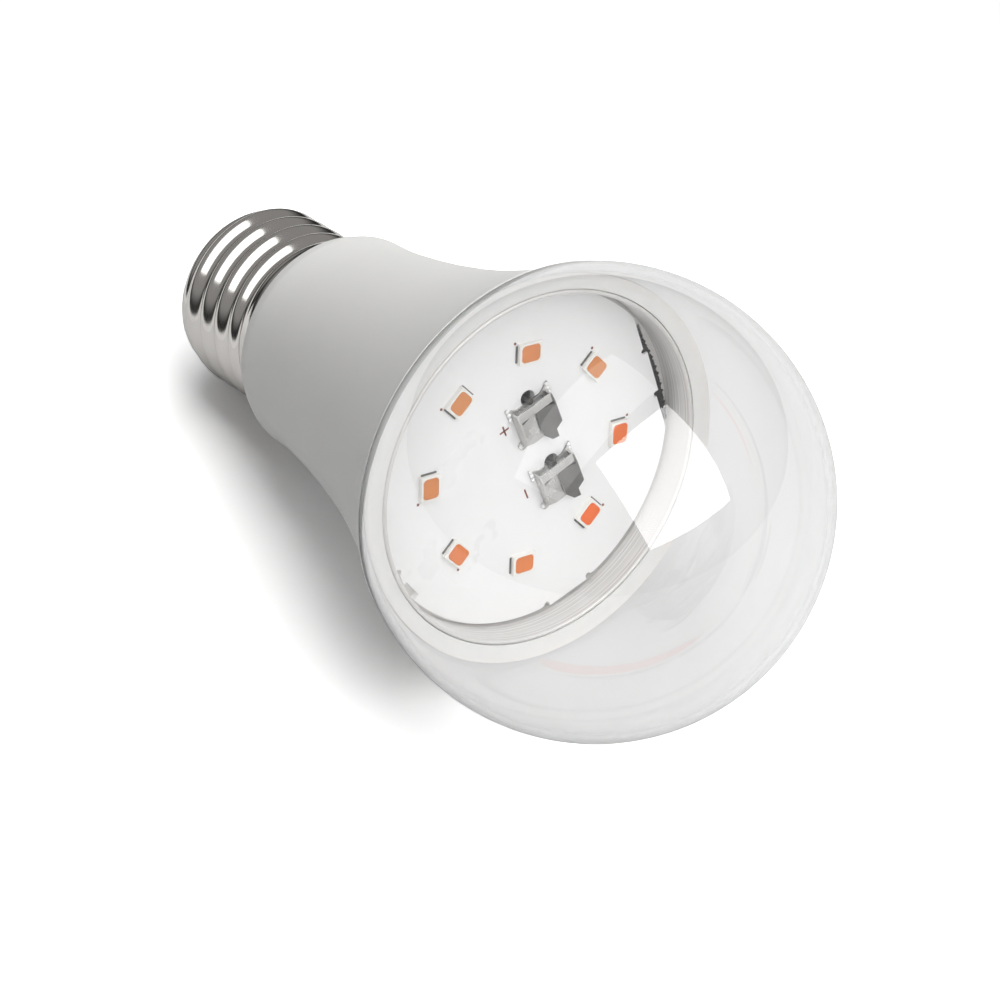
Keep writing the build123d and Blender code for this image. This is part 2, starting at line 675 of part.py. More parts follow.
NODES["driver_board"] = driver_board()
NODES["smoothing_capacitor"] = on_front(rod(CAPACITOR_DIAMETER / 2, 0, CAPACITOR_LENGTH), CAPACITOR_PLACE)
NODES["film_capacitor"] = on_board_face(FILM_BOX, FILM_PLACE, DRIVER_FRONT, 1)
NODES["choke_core"] = on_front(spool_core(), CORE_PLACE)
NODES["choke_winding"] = on_front(winding(), CORE_PLACE)
NODES["bridge_rectifier"] = on_board_face(BRIDGE_BOX, BRIDGE_PLACE, DRIVER_BACK, -1)
NODES["driver_chip"] = on_board_face(CHIP_BOX, CHIP_PLACE, DRIVER_BACK, -1)
NODES["fuse_resistor"] = on_front(rod(FUSE_DIAMETER / 2, 0, FUSE_LENGTH), FUSE_PLACE)
NODES["live_lead"] = live_lead()
NODES["neutral_lead"] = neutral_lead()

NODES["cap_shell"] = cap_shell()
NODES["cap_insulator"] = cap_insulator()
NODES["tip_contact"] = tip_contact()

os.makedirs("parts", exist_ok=True)
for name, shape in NODES.items():
    export_step(shape, f"parts/{name}.step")
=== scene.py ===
from math import asin, atan2, cos, pi, radians, sin, sqrt, tau

import bmesh
import bpy
from mathutils import Matrix, Vector
from mathutils.geometry import interpolate_bezier


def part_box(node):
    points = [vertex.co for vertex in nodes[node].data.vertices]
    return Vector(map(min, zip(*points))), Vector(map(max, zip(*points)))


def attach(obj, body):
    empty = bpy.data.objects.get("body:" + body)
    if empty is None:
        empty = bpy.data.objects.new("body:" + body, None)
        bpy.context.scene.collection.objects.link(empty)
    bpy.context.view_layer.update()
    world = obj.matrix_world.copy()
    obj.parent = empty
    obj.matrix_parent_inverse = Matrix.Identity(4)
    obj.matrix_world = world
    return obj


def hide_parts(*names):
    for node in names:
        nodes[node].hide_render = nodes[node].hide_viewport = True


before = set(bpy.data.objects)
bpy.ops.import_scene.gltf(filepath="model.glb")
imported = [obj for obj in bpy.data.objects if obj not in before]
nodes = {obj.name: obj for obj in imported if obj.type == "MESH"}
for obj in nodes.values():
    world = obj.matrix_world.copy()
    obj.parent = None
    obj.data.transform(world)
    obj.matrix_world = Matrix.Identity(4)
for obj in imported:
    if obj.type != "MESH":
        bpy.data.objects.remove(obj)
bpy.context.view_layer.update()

# The driver: a brown laminate board that stands inside the housing, with a capacitor, a film
# capacitor, a choke, a rectifier, a chip and a fuse resistor soldered flat on it. Nothing of it
# shows, so the CAD solids stay and only get their real finishes.
MM = 0.001
PATCH_DETAIL = 4
GRAIN_DETAIL = 3
GRAIN_DEPTH = 0.02 * MM


def add_socket(group, name, kind, direction, value=None):
    """One named input or output of a node group."""
    socket = group.interface.new_socket(name=name, in_out=direction, socket_type=kind)
    if value is not None:
        socket.default_value = value


def uneven_surface_group():
    """Patchy colour, uneven gloss and fine relief, shared by nearly every finish."""
    group = bpy.data.node_groups.new("uneven_surface", "ShaderNodeTree")
    add_socket(group, "Colour", "NodeSocketColor", "INPUT", (0.8, 0.8, 0.8, 1))
    add_socket(group, "Patch Colour", "NodeSocketColor", "INPUT", (0.7, 0.7, 0.7, 1))
    add_socket(group, "Patches Per Metre", "NodeSocketFloat", "INPUT", 150.0)
    add_socket(group, "Grains Per Metre", "NodeSocketFloat", "INPUT", 3000.0)
    add_socket(group, "Relief", "NodeSocketFloat", "INPUT", 0.1)
    add_socket(group, "Smoothest", "NodeSocketFloat", "INPUT", 0.3)
    add_socket(group, "Roughest", "NodeSocketFloat", "INPUT", 0.5)
    add_socket(group, "Colour", "NodeSocketColor", "OUTPUT")
    add_socket(group, "Roughness", "NodeSocketFloat", "OUTPUT")
    add_socket(group, "Normal", "NodeSocketVector", "OUTPUT")
    make = group.nodes.new
    link = group.links.new
    inputs = make("NodeGroupInput").outputs
    outputs = make("NodeGroupOutput").inputs
    place = make("ShaderNodeTexCoord").outputs["Object"]
    patches = make("ShaderNodeTexNoise")
    patches.inputs["Detail"].default_value = PATCH_DETAIL
    link(place, patches.inputs["Vector"])
    link(inputs["Patches Per Metre"], patches.inputs["Scale"])
    grains = make("ShaderNodeTexNoise")
    grains.inputs["Detail"].default_value = GRAIN_DETAIL
    link(place, grains.inputs["Vector"])
    link(inputs["Grains Per Metre"], grains.inputs["Scale"])
    shade = make("ShaderNodeMix")
    shade.data_type = "RGBA"
    link(patches.outputs["Fac"], shade.inputs["Factor"])
    link(inputs["Colour"], shade.inputs[6])
    link(inputs["Patch Colour"], shade.inputs[7])
    link(shade.outputs[2], outputs["Colour"])
    gloss = make("ShaderNodeMapRange")
    link(patches.outputs["Fac"], gloss.inputs["Value"])
    link(inputs["Smoothest"], gloss.inputs["To Min"])
    link(inputs["Roughest"], gloss.inputs["To Max"])
    link(gloss.outputs["Result"], outputs["Roughness"])
    relief = make("ShaderNodeBump")
    relief.inputs["Distance"].default_value = GRAIN_DEPTH
    link(grains.outputs["Fac"], relief.inputs["Height"])
    link(inputs["Relief"], relief.inputs["Strength"])
    link(relief.outputs["Normal"], outputs["Normal"])
    return group


uneven_surface = uneven_surface_group()


def finish_of(name, colour, patch_colour, gloss, patches=150.0, grains=3000.0, relief=0.1, **shader_values):
    """A material with the uneven surface in it; gloss is its smoothest and roughest roughness."""
    material = bpy.data.materials.new(name)
    material.use_nodes = True
    shader = material.node_tree.nodes["Principled BSDF"]
    surface = material.node_tree.nodes.new("ShaderNodeGroup")
    surface.name = "surface"
    surface.node_tree = uneven_surface
    surface.inputs["Colour"].default_value = (*colour, 1)
    surface.inputs["Patch Colour"].default_value = (*patch_colour, 1)
    surface.inputs["Patches Per Metre"].default_value = patches
    surface.inputs["Grains Per Metre"].default_value = grains
    surface.inputs["Relief"].default_value = relief
    surface.inputs["Smoothest"].default_value = gloss[0]
    surface.inputs["Roughest"].default_value = gloss[1]
    link = material.node_tree.links.new
    link(surface.outputs["Colour"], shader.inputs["Base Color"])
    link(surface.outputs["Roughness"], shader.inputs["Roughness"])
    link(surface.outputs["Normal"], shader.inputs["Normal"])
    for socket_name, value in shader_values.items():
        shader.inputs[socket_name.replace("_", " ")].default_value = value
    return material


def dress(node_name, material):
    """Give a CAD node its finish."""
    mesh = nodes[node_name].data
    mesh.materials.clear()
    mesh.materials.append(material)


dress("driver_board", finish_of("driver_laminate", (0.35, 0.2, 0.08), (0.28, 0.15, 0.06), (0.4, 0.6)))
dress("smoothing_capacitor",
      finish_of("capacitor_sleeve", (0.01, 0.012, 0.03), (0.02, 0.02, 0.04), (0.2, 0.3)))
dress("film_capacitor", finish_of("film_capacitor_case", (0.35, 0.05, 0.01), (0.3, 0.04, 0.01), (0.15, 0.3)))
dress("choke_core", finish_of("ferrite", (0.02, 0.02, 0.02), (0.035, 0.035, 0.035), (0.5, 0.7)))
dress("choke_winding",
      finish_of("copper_winding", (0.5, 0.17, 0.05), (0.4, 0.12, 0.04), (0.2, 0.4), Metallic=1.0))
black_epoxy = finish_of("black_epoxy", (0.015, 0.015, 0.015), (0.03, 0.03, 0.03), (0.4, 0.6))
dress("bridge_rectifier", black_epoxy)
dress("driver_chip", black_epoxy)
dress("fuse_resistor", finish_of("resistor_coat", (0.1, 0.2, 0.14), (0.08, 0.17, 0.12), (0.3, 0.5)))
dress("live_lead", finish_of("live_insulation", (0.4, 0.01, 0.008), (0.3, 0.01, 0.008), (0.35, 0.5)))
dress("neutral_lead", finish_of("neutral_insulation", (0.01, 0.01, 0.012), (0.02, 0.02, 0.02), (0.35, 0.5)))

# The housing: one matt light-grey plastic moulding. Its wall flares from the cap to the globe's
# rim; inside it has a floor, a ledge and a socket for the globe, and below the floor a spigot that
# the cap is crimped on.
TURN_STEPS = 192
SMOOTH_BELOW = radians(32)
MERGE_BELOW = 0.001 * MM
# The flared side in millimetres: heights above the bottom edge and radii
HOUSING_HEIGHT = 47.66
NECK_RADIUS = 15.75
RIM_RADIUS = 27.9
SIDE = ((1.9, NECK_RADIUS), (8.4, 16.1), (20.9, 18.2), (33.7, 21.75), (HOUSING_HEIGHT, RIM_RADIUS))
NECK_LEAN = 0.03
RIM_LEAN = 0.61
SIDE_POINTS = 14
HOUSING_WALL = 1.1 * MM
HOUSING_FLOOR = 1.8 * MM
SPIGOT_RADIUS = 11.75 * MM
SPIGOT_BORE = 10.45 * MM
FOOT_RADIUS = 15.2 * MM
FOOT_CORNER = 0.5 * MM
FOOT_START = -70
FOOT_END = -6
FOOT_STEPS = 6
# How far in and how far down the rim's outer edge is rounded off, at two points
RIM_EASING = ((0.05 * MM, 0.1 * MM), (0.11 * MM, 0))
REBATE_STEPS = 6
rim_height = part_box("housing")[1].z
housing_bottom = rim_height - HOUSING_HEIGHT * MM
spigot_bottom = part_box("housing")[0].z


def flared_side(inset=0.0):
    """Points of the flared side from the neck up to the rim, moved in by an inset."""
    points = [Vector((radius * MM - inset, 0, housing_bottom + height * MM)) for height, radius in SIDE]
    leans = [NECK_LEAN]
    for below, above in zip(points, points[2:]):
        leans.append((above.x - below.x) / (above.z - below.z))
    leans.append(RIM_LEAN)
    side = []
    for i in range(len(points) - 1):
        third = (points[i + 1].z - points[i].z) / 3
        first_handle = points[i] + Vector((leans[i], 0, 1)) * third
        second_handle = points[i + 1] - Vector((leans[i + 1], 0, 1)) * third
        span = interpolate_bezier(points[i], first_handle, second_handle, points[i + 1], SIDE_POINTS)
        side += [(point.x, point.z) for point in span[:-1]]
    return side + [(points[-1].x, points[-1].z)]


def arc(centre, radius, start, end, count):
    """Points of an arc in the section, between two angles in degrees from the +radius side."""
    turns = [radians(start + (end - start) * i / count) for i in range(count + 1)]
    return [(centre[0] + radius * cos(turn), centre[1] + radius * sin(turn)) for turn in turns]


def turned(bm, outline, closed=True):
    """Spin a section, drawn as radius and height, about the lamp axis."""
    verts = [bm.verts.new((radius, 0, height)) for radius, height in outline]
    pairs = list(zip(verts, verts[1:])) + ([(verts[-1], verts[0])] if closed else [])
    edges = [bm.edges.new(pair) for pair in pairs]
    bmesh.ops.spin(bm, geom=verts + edges, cent=(0, 0, 0), axis=(0, 0, 1), angle=tau, steps=TURN_STEPS,
                   use_merge=True)


def finished(bm, name, material, smooth_below=SMOOTH_BELOW):
    """Close a bmesh into a piece of the lamp that rides on its only body."""
    bmesh.ops.remove_doubles(bm, verts=bm.verts, dist=MERGE_BELOW)
    bmesh.ops.recalc_face_normals(bm, faces=bm.faces)
    mesh = bpy.data.meshes.new(name)
    bm.to_mesh(mesh)
    bm.free()
    mesh.shade_smooth()
    mesh.set_sharp_from_angle(angle=smooth_below)
    mesh.materials.append(material)
    piece = bpy.data.objects.new(name, mesh)
    bpy.context.scene.collection.objects.link(piece)
    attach(piece, "root")
    return piece


globe_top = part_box("globe")[1].z
GLOBE_RADIUS = 30 * MM
REBATE_DEPTH = 0.6 * MM
REBATE_HEIGHT = 2.3 * MM
FIT = 0.1 * MM
globe_centre = globe_top - GLOBE_RADIUS
ledge_height = rim_height - REBATE_HEIGHT - FIT


def on_ball(radius, height):
    """Point of the globe's section at a height, for a ball of this radius."""
    return (sqrt(radius ** 2 - (globe_centre - height) ** 2), height)


def ball_span(radius, low, high, count):
    """Points of the globe's section from one height to another, evenly spaced in height."""
    return [on_ball(radius, low + (high - low) * i / count) for i in range(count + 1)]


CUP_OUTER_RADIUS = 24.4 * MM
floor_top = housing_bottom + HOUSING_FLOOR
bore_radius = CUP_OUTER_RADIUS + FIT


def side_below(inset, widest, low, high):
    """The part of an inset side that is narrower than a radius and lies between two heights."""
    return [point for point in flared_side(inset) if point[0] < widest and low < point[1] < high]


outline = [(SPIGOT_RADIUS, spigot_bottom), (SPIGOT_RADIUS, housing_bottom)]
outline += [(FOOT_RADIUS - FOOT_CORNER, housing_bottom)]
foot_centre = (FOOT_RADIUS - FOOT_CORNER, housing_bottom + FOOT_CORNER)
outline += arc(foot_centre, FOOT_CORNER, FOOT_START, FOOT_END, FOOT_STEPS)
outline += flared_side()[:-1]
outline += [(RIM_RADIUS * MM - inset, rim_height - drop) for inset, drop in RIM_EASING]
outline += ball_span(GLOBE_RADIUS - REBATE_DEPTH + FIT, rim_height, ledge_height, REBATE_STEPS)
outline += [(bore_radius, ledge_height)]
outline += side_below(HOUSING_WALL, bore_radius, floor_top, rim_height)[::-1]
outline += [(NECK_RADIUS * MM - HOUSING_WALL, floor_top), (SPIGOT_BORE, floor_top)]
outline += [(SPIGOT_BORE, spigot_bottom)]
housing_bm = bmesh.new()
turned(housing_bm, outline)
white_plastic = finish_of("white_housing", (0.79, 0.787, 0.77), (0.76, 0.756, 0.74), (0.42, 0.55),
                          patches=60, grains=5000, relief=0.12, Specular_IOR_Level=0.4)
housing = finished(housing_bm, "housing_moulding", white_plastic)
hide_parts("housing")

# The aluminium cup: pressed from thin sheet, with a skirt that passes the heat to the housing, a
# plate with a punched slot that carries the LED board, and a rounded lip that stands up round the
# board. The lathe leaves fine rings on the wall that shows between the board and the lip.
CUP_SHEET = 0.6 * MM
CUP_PLATE = 1.0 * MM
CUP_SKIRT = 24.0 * MM
CUP_OPENING_RADIUS = 10.0 * MM
CUP_CORNER = 0.35 * MM
LIP_STEPS = 8
SLOT_SIZE = (12.6 * MM, 1.4 * MM, 3 * CUP_PLATE)
SLOT_REACH = 22.0 * MM
RINGS_PER_METRE = 4000
RING_DEPTH = 0.04 * MM
RING_SHADE = 0.75
RING_DETAIL = 3
# Noise values at which a ring is darkest and at which it is plain
RING_CONTRAST = (0.35, 0.65)
cup_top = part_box("heat_sink_cup")[1].z
plate_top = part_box("led_board")[0].z
cup_bottom = plate_top - CUP_SKIRT
cup_bore = CUP_OUTER_RADIUS - CUP_SHEET
lip_round = CUP_SHEET / 2
plate_bottom = plate_top - CUP_PLATE
outside = side_below(HOUSING_WALL + FIT, CUP_OUTER_RADIUS, cup_bottom, rim_height)
inside = side_below(HOUSING_WALL + FIT + CUP_SHEET, cup_bore, cup_bottom, plate_bottom)
outline = outside + [(CUP_OUTER_RADIUS, outside[-1][1] + CUP_CORNER)]
outline += arc((CUP_OUTER_RADIUS - lip_round, cup_top - lip_round), lip_round, 0, 180, LIP_STEPS)
outline += [(cup_bore, plate_top), (CUP_OPENING_RADIUS, plate_top)]
outline += [(CUP_OPENING_RADIUS, plate_bottom), (inside[-1][0], plate_bottom)] + inside[::-1]
cup_bm = bmesh.new()
turned(cup_bm, outline)
cup_metal = finish_of("cup_aluminium", (0.80, 0.785, 0.77), (0.74, 0.725, 0.71), (0.3, 0.45), patches=120,
                      grains=2500, relief=0.1, Metallic=0.35)


def add_rings(material, per_metre, depth, darkest):
    """Fine turned rings round the lamp axis, in colour and relief."""
    make = material.node_tree.nodes.new
    link = material.node_tree.links.new
    surface = material.node_tree.nodes["surface"]
    shader = material.node_tree.nodes["Principled BSDF"]
    place = make("ShaderNodeTexCoord").outputs["Object"]
    height = make("ShaderNodeSeparateXYZ")
    link(place, height.inputs["Vector"])
    rings = make("ShaderNodeTexNoise")
    rings.noise_dimensions = "1D"
    rings.inputs["Scale"].default_value = per_metre
    rings.inputs["Detail"].default_value = RING_DETAIL
    link(height.outputs["Z"], rings.inputs["W"])
    shade = make("ShaderNodeMapRange")
    shade.inputs["From Min"].default_value = RING_CONTRAST[0]
    shade.inputs["From Max"].default_value = RING_CONTRAST[1]
    shade.inputs["To Min"].default_value = darkest
    link(rings.outputs["Fac"], shade.inputs["Value"])
    darken = make("ShaderNodeMix")
    darken.data_type = "RGBA"
    darken.blend_type = "MULTIPLY"
    darken.inputs["Factor"].default_value = 1
    link(surface.outputs["Colour"], darken.inputs[6])
    link(shade.outputs["Result"], darken.inputs[7])
    link(darken.outputs[2], shader.inputs["Base Color"])
    relief = make("ShaderNodeBump")
    relief.inputs["Distance"].default_value = depth
    link(rings.outputs["Fac"], relief.inputs["Height"])
    link(surface.outputs["Normal"], relief.inputs["Normal"])
    link(relief.outputs["Normal"], shader.inputs["Normal"])


add_rings(cup_metal, RINGS_PER_METRE, RING_DEPTH, RING_SHADE)
cup = finished(cup_bm, "heat_sink_pressing", cup_metal)


def block(bm, size, centre):
    """A box in a bmesh, by its size and its centre."""
    made = bmesh.ops.create_cube(bm, size=1)["verts"]
    bmesh.ops.scale(bm, vec=size, verts=made)
    bmesh.ops.translate(bm, vec=centre, verts=made)
    return made


punch_bm = bmesh.new()
block(punch_bm, SLOT_SIZE, (0, -SLOT_REACH, plate_top))
punch_mesh = bpy.data.meshes.new("slot_punch")
punch_bm.to_mesh(punch_mesh)
punch_bm.free()
punch = bpy.data.objects.new("slot_punch", punch_mesh)
bpy.context.scene.collection.objects.link(punch)
punching = cup.modifiers.new("slot", "BOOLEAN")
punching.operation = "DIFFERENCE"
punching.solver = "EXACT"
punching.object = punch
plain_cup_mesh = cup.data
cup_now = cup.evaluated_get(bpy.context.evaluated_depsgraph_get())
cup.data = bpy.data.meshes.new_from_object(cup_now)
cup.modifiers.clear()
cup.data.set_sharp_from_angle(angle=SMOOTH_BELOW)
bpy.data.objects.remove(punch)
bpy.data.meshes.remove(punch_mesh)
bpy.data.meshes.remove(plain_cup_mesh)
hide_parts("heat_sink_cup")

# The LED board: an aluminium-core disc under a glossy white mask, torn out of a panel, so it has
# flats and stubs at its edge and one ragged side, where a near-black strip is partly the torn core
# and partly painted shadow of the gap below. It carries eight white LED packages with an orange fill,
# a grey strip of solder at each end and a red-brown dot printed at a corner.
board_mask = finish_of("board_mask", (0.92, 0.92, 0.918), (0.905, 0.905, 0.905), (0.24, 0.34), patches=90,
                       grains=1200, relief=0.05)
dress("led_board", board_mask)
board_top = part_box("led_board")[1].z
led_plastic = finish_of("led_plastic", (0.93, 0.91, 0.87), (0.9, 0.88, 0.84), (0.25, 0.35), patches=400,
                        grains=6000, relief=0.08)
LED_COUNT = 8
LED_FIRST_ANGLE = 22.5
LED_RING_RADIUS = 15 * MM
LED_LENGTH = 3.5 * MM
LED_WIDTH = 2.8 * MM
PHOSPHOR_DEEP = (0.95, 0.17, 0.03)
PHOSPHOR_PALE = (0.74, 0.29, 0.10)
# Share of the pale orange in each LED's fill, from the first LED round the ring
PALENESS = (1.0, 0.9, 0.55, 0.6, 0.0, 0.2, 0.95, 0.85)
PATCH_SHADE = 0.9
for number, share in enumerate(PALENESS, start=1):
    fill = [deep + (pale - deep) * share for deep, pale in zip(PHOSPHOR_DEEP, PHOSPHOR_PALE)]
    patch_fill = [value * PATCH_SHADE for value in fill]
    phosphor = finish_of(f"phosphor_{number}", fill, patch_fill, (0.35, 0.5), patches=500, grains=9000,
                         relief=0.15, Specular_IOR_Level=0.3)
    dress(f"led_phosphor_{number}", phosphor)
    dress(f"led_body_{number}", led_plastic)
SOLDER_STRIP = (2.3 * MM, 0.22 * MM, 0.14 * MM)
MARK_HEIGHT = 0.02 * MM
DOT_RADIUS = 0.2 * MM
DOT_SEGMENTS = 12
# Place of the dot beside an LED, as shares of the package's width and length
DOT_ACROSS = 0.55
DOT_ALONG = 0.6
strip_reach = (LED_LENGTH + SOLDER_STRIP[1]) / 2
dot_reach = LED_RING_RADIUS + LED_WIDTH * DOT_ACROSS
corner = Vector((dot_reach, LED_LENGTH * DOT_ALONG, board_top + MARK_HEIGHT / 2))
strips_bm = bmesh.new()
dots_bm = bmesh.new()
for number in range(LED_COUNT):
    turn = Matrix.Rotation(radians(LED_FIRST_ANGLE) + number * tau / LED_COUNT, 3, "Z")
    for side in (-1, 1):
        centre = Vector((LED_RING_RADIUS, side * strip_reach, board_top + SOLDER_STRIP[2] / 2))
        strip = block(strips_bm, SOLDER_STRIP, centre)
        bmesh.ops.rotate(strips_bm, verts=strip, cent=(0, 0, 0), matrix=turn)
    dot = bmesh.ops.create_cone(dots_bm, cap_ends=True, segments=DOT_SEGMENTS, radius1=DOT_RADIUS,
                                radius2=DOT_RADIUS, depth=MARK_HEIGHT)["verts"]
    bmesh.ops.translate(dots_bm, vec=corner, verts=dot)
    bmesh.ops.rotate(dots_bm, verts=dot, cent=(0, 0, 0), matrix=turn)
solder_grey = finish_of("led_solder", (0.25, 0.245, 0.24), (0.06, 0.06, 0.06), (0.3, 0.5), patches=2600,
                        grains=5000, relief=0.5, Metallic=0.7)
strips = finished(strips_bm, "led_solder_strips", solder_grey)
print_brown = finish_of("print_brown", (0.25, 0.06, 0.03), (0.2, 0.05, 0.03), (0.4, 0.5), patches=900)
dots = finished(dots_bm, "corner_dots", print_brown)
TORN_SPAN = 16.56 * MM
TORN_MIDDLE = -1.0 * MM
TORN_FOOT = 21.2 * MM
TORN_EDGE = 21.6 * MM
TORN_BULGE = 1.05 * MM
TORN_BOW = 0.92 * pi
TORN_FOOT_DROP = 0.45 * MM
TORN_TIP_DROP = 0.3 * MM
TORN_SHEET = 0.16 * MM
TORN_STEPS = 90
# Waves that add up to the ragged teeth: height, radians along the whole edge, and where each starts
TORN_WAVES = ((0.09 * MM, 29 * tau, 0), (0.09 * MM, 17 * tau, 1), (0.054 * MM, 71, 0))
torn_bm = bmesh.new()
feet = []
tips = []
for step in range(TORN_STEPS + 1):
    share = step / TORN_STEPS - 0.5
    along = TORN_MIDDLE + TORN_SPAN * share
    tooth = sum(height * sin(run * share + start) for height, run, start in TORN_WAVES)
    out = TORN_EDGE + TORN_BULGE * cos(TORN_BOW * share) + tooth
    feet.append(torn_bm.verts.new((along, -TORN_FOOT, board_top - TORN_FOOT_DROP)))
    tips.append(torn_bm.verts.new((along, -out, board_top - TORN_TIP_DROP)))
sides = [torn_bm.edges.new(pair) for row in (feet, tips) for pair in zip(row, row[1:])]
bmesh.ops.bridge_loops(torn_bm, edges=sides)
# Near black, rough and with little gloss: partly the torn core's own dark, partly painted shadow of the gap
# under the board's flat.
torn_edge_painted_gap_shadow = finish_of("torn_edge_painted_gap_shadow", (0.008, 0.008, 0.008), (0.03, 0.029, 0.028), (0.7, 0.9), patches=900,
                      relief=0.3, Specular_IOR_Level=0.1)
torn = finished(torn_bm, "torn_edge_and_gap_shadow_strip", torn_edge_painted_gap_shadow)
torn_sheet = torn.modifiers.new("sheet", "SOLIDIFY")
torn_sheet.thickness = TORN_SHEET
torn_sheet.offset = 0

# The two terminals: clips folded from tinned sheet, soldered to the board at their feet. Each has
# two sprung leaves that grip a pin of the driver; the one that faces away from the light is coloured
# darker, as painted shade. A plus and a minus are printed beside them.
FOLD_RADIUS = 0.07 * MM
FOLD_SEGMENTS = 2
FLAT_BELOW = radians(1)
SHARP_ABOVE = radians(40)
SMOOTH_FOLD_BELOW = radians(50)
# Faces beyond this parting, on the leaf that faces away from the light, take the darker tin as painted
# shade.
LEAF_PARTING = -3.35 * MM
clip_metal = finish_of("clip_tin", (0.68, 0.675, 0.66), (0.42, 0.415, 0.405), (0.22, 0.34), patches=500,
                       grains=2500, relief=0.15, Metallic=0.8)
# A darker copy of the clip's tin: painted shade for the leaf that faces away from the light.
clip_tin_painted_shade = finish_of("clip_tin_in_painted_shade", (0.25, 0.246, 0.24), (0.13, 0.127, 0.122), (0.25, 0.38), patches=420,
                       grains=2500, relief=0.15, Metallic=0.9)


def softened(node_name, name, radius, material):
    """A copy of a CAD node whose sharp edges are rounded, as folded sheet's are."""
    bm = bmesh.new()
    bm.from_mesh(nodes[node_name].data)
    bmesh.ops.remove_doubles(bm, verts=bm.verts, dist=MERGE_BELOW)
    bmesh.ops.dissolve_limit(bm, angle_limit=FLAT_BELOW, verts=bm.verts, edges=bm.edges)
    joined = [edge for edge in bm.edges if len(edge.link_faces) == 2]
    sharp = [edge for edge in joined if edge.calc_face_angle() > SHARP_ABOVE]
    bmesh.ops.bevel(bm, geom=sharp, offset=radius, offset_type="OFFSET", segments=FOLD_SEGMENTS,
                    profile=0.5, affect="EDGES", material=-1, clamp_overlap=True)
    piece = finished(bm, name, material, SMOOTH_FOLD_BELOW)
    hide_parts(node_name)
    return piece


for sign in ("plus", "minus"):
    clip = softened(f"{sign}_terminal", f"{sign}_clip", FOLD_RADIUS, clip_metal)
    clip.data.materials.append(clip_tin_painted_shade)
    for face in clip.data.polygons:
        if face.center.y < LEAF_PARTING:
            face.material_index = 1
# Near-white solder: a painted highlight where the blobs catch the lamps.
solder_painted_highlight = finish_of("solder_painted_highlight", (0.95, 0.95, 0.955), (0.88, 0.88, 0.885), (0.12, 0.25),
                          patches=900, grains=3000, relief=0.1, Metallic=0.25)
dress("terminal_solder", solder_painted_highlight)
pin_metal = finish_of("pin_tin", (0.16, 0.155, 0.145), (0.08, 0.078, 0.072), (0.25, 0.4), Metallic=1.0)
dress("plus_pin", pin_metal)
dress("minus_pin", pin_metal)
MARK_BAR = (1.5 * MM, 0.24 * MM, MARK_HEIGHT)
PLUS_MARK = Vector((5.7 * MM, 1.3 * MM, board_top + MARK_HEIGHT / 2))
MINUS_MARK = Vector((-4.9 * MM, 1.6 * MM, board_top + MARK_HEIGHT / 2))
MARK_CROSSBAR = (MARK_BAR[1], MARK_BAR[0], MARK_HEIGHT)
marks_bm = bmesh.new()
block(marks_bm, MARK_BAR, PLUS_MARK)
block(marks_bm, MARK_CROSSBAR, PLUS_MARK)
block(marks_bm, MARK_BAR, MINUS_MARK)
marks = finished(marks_bm, "plus_and_minus_marks", print_brown)

# The screw cap: a shell rolled from thin nickel-plated sheet. A right-hand round thread is rolled
# into both faces of the sheet, the top stays a plain skirt against the housing, and the mouth is
# curled in under the black insulator.
THREAD_PITCH = 3.629 * MM
CREST_RADIUS = 13.1 * MM
ROOT_RADIUS = 12.15 * MM
SKIRT_RADIUS = 13.15 * MM
MOUTH_RADIUS = 12.45 * MM
CURL_RADIUS = 10.8 * MM
CURL_HEIGHT = 4.2 * MM
THREAD_START = 5.6 * MM
THREAD_END = 22.0 * MM
THREAD_FADE = 2.6 * MM
THREAD_LEAD_IN = 1.2 * MM
SKIRT_STEP = 0.2 * MM
SHELL_SHEET = 0.3 * MM
THREAD_ROWS = 110
CURL_STEPS = 8
CAP_SMOOTH_BELOW = radians(60)


def eased(share):
    """Smooth step from 0 to 1."""
    held = min(max(share, 0.0), 1.0)
    return held * held * (3 - 2 * held)


def thread_radius(turn, height):
    """Radius of the rolled shell after a share of a turn, at a height."""
    middle = (CREST_RADIUS + ROOT_RADIUS) / 2
    swing = (CREST_RADIUS - ROOT_RADIUS) / 2
    rolled = middle + swing * cos(tau * (height / THREAD_PITCH - turn))
    upper = eased((THREAD_END - height) / THREAD_FADE)
    lower = eased((height - THREAD_START) / THREAD_LEAD_IN)
    joined = rolled * upper + CREST_RADIUS * (1 - upper)
    return joined * lower + MOUTH_RADIUS * (1 - lower)


curl_rise = THREAD_START - CURL_HEIGHT
curl_reach = MOUTH_RADIUS - CURL_RADIUS
outline = []
for step in range(CURL_STEPS + 1):
    turn = pi / 2 * step / CURL_STEPS
    outline.append((CURL_RADIUS + curl_reach * sin(turn), CURL_HEIGHT + curl_rise * (1 - cos(turn))))
for row in range(1, THREAD_ROWS + 1):
    outline.append((CREST_RADIUS, THREAD_START + (THREAD_END - THREAD_START) * row / THREAD_ROWS))
outline += [(SKIRT_RADIUS, THREAD_END + SKIRT_STEP), (SKIRT_RADIUS, housing_bottom - FIT / 2)]
cap_bm = bmesh.new()
turned(cap_bm, outline, closed=False)
for vert in cap_bm.verts:
    if THREAD_START < vert.co.z < THREAD_END + FIT:
        turn = atan2(vert.co.y, vert.co.x) / tau
        radius = thread_radius(turn, vert.co.z)
        vert.co.x = radius * cos(tau * turn)
        vert.co.y = radius * sin(tau * turn)
nickel = finish_of("cap_nickel", (0.70, 0.68, 0.655), (0.62, 0.60, 0.575), (0.10, 0.17), patches=130,
                   grains=900, relief=0.03, Metallic=1.0)
cap = finished(cap_bm, "screw_shell", nickel, CAP_SMOOTH_BELOW)
wall = cap.modifiers.new("sheet", "SOLIDIFY")
wall.thickness = SHELL_SHEET
wall.offset = -1
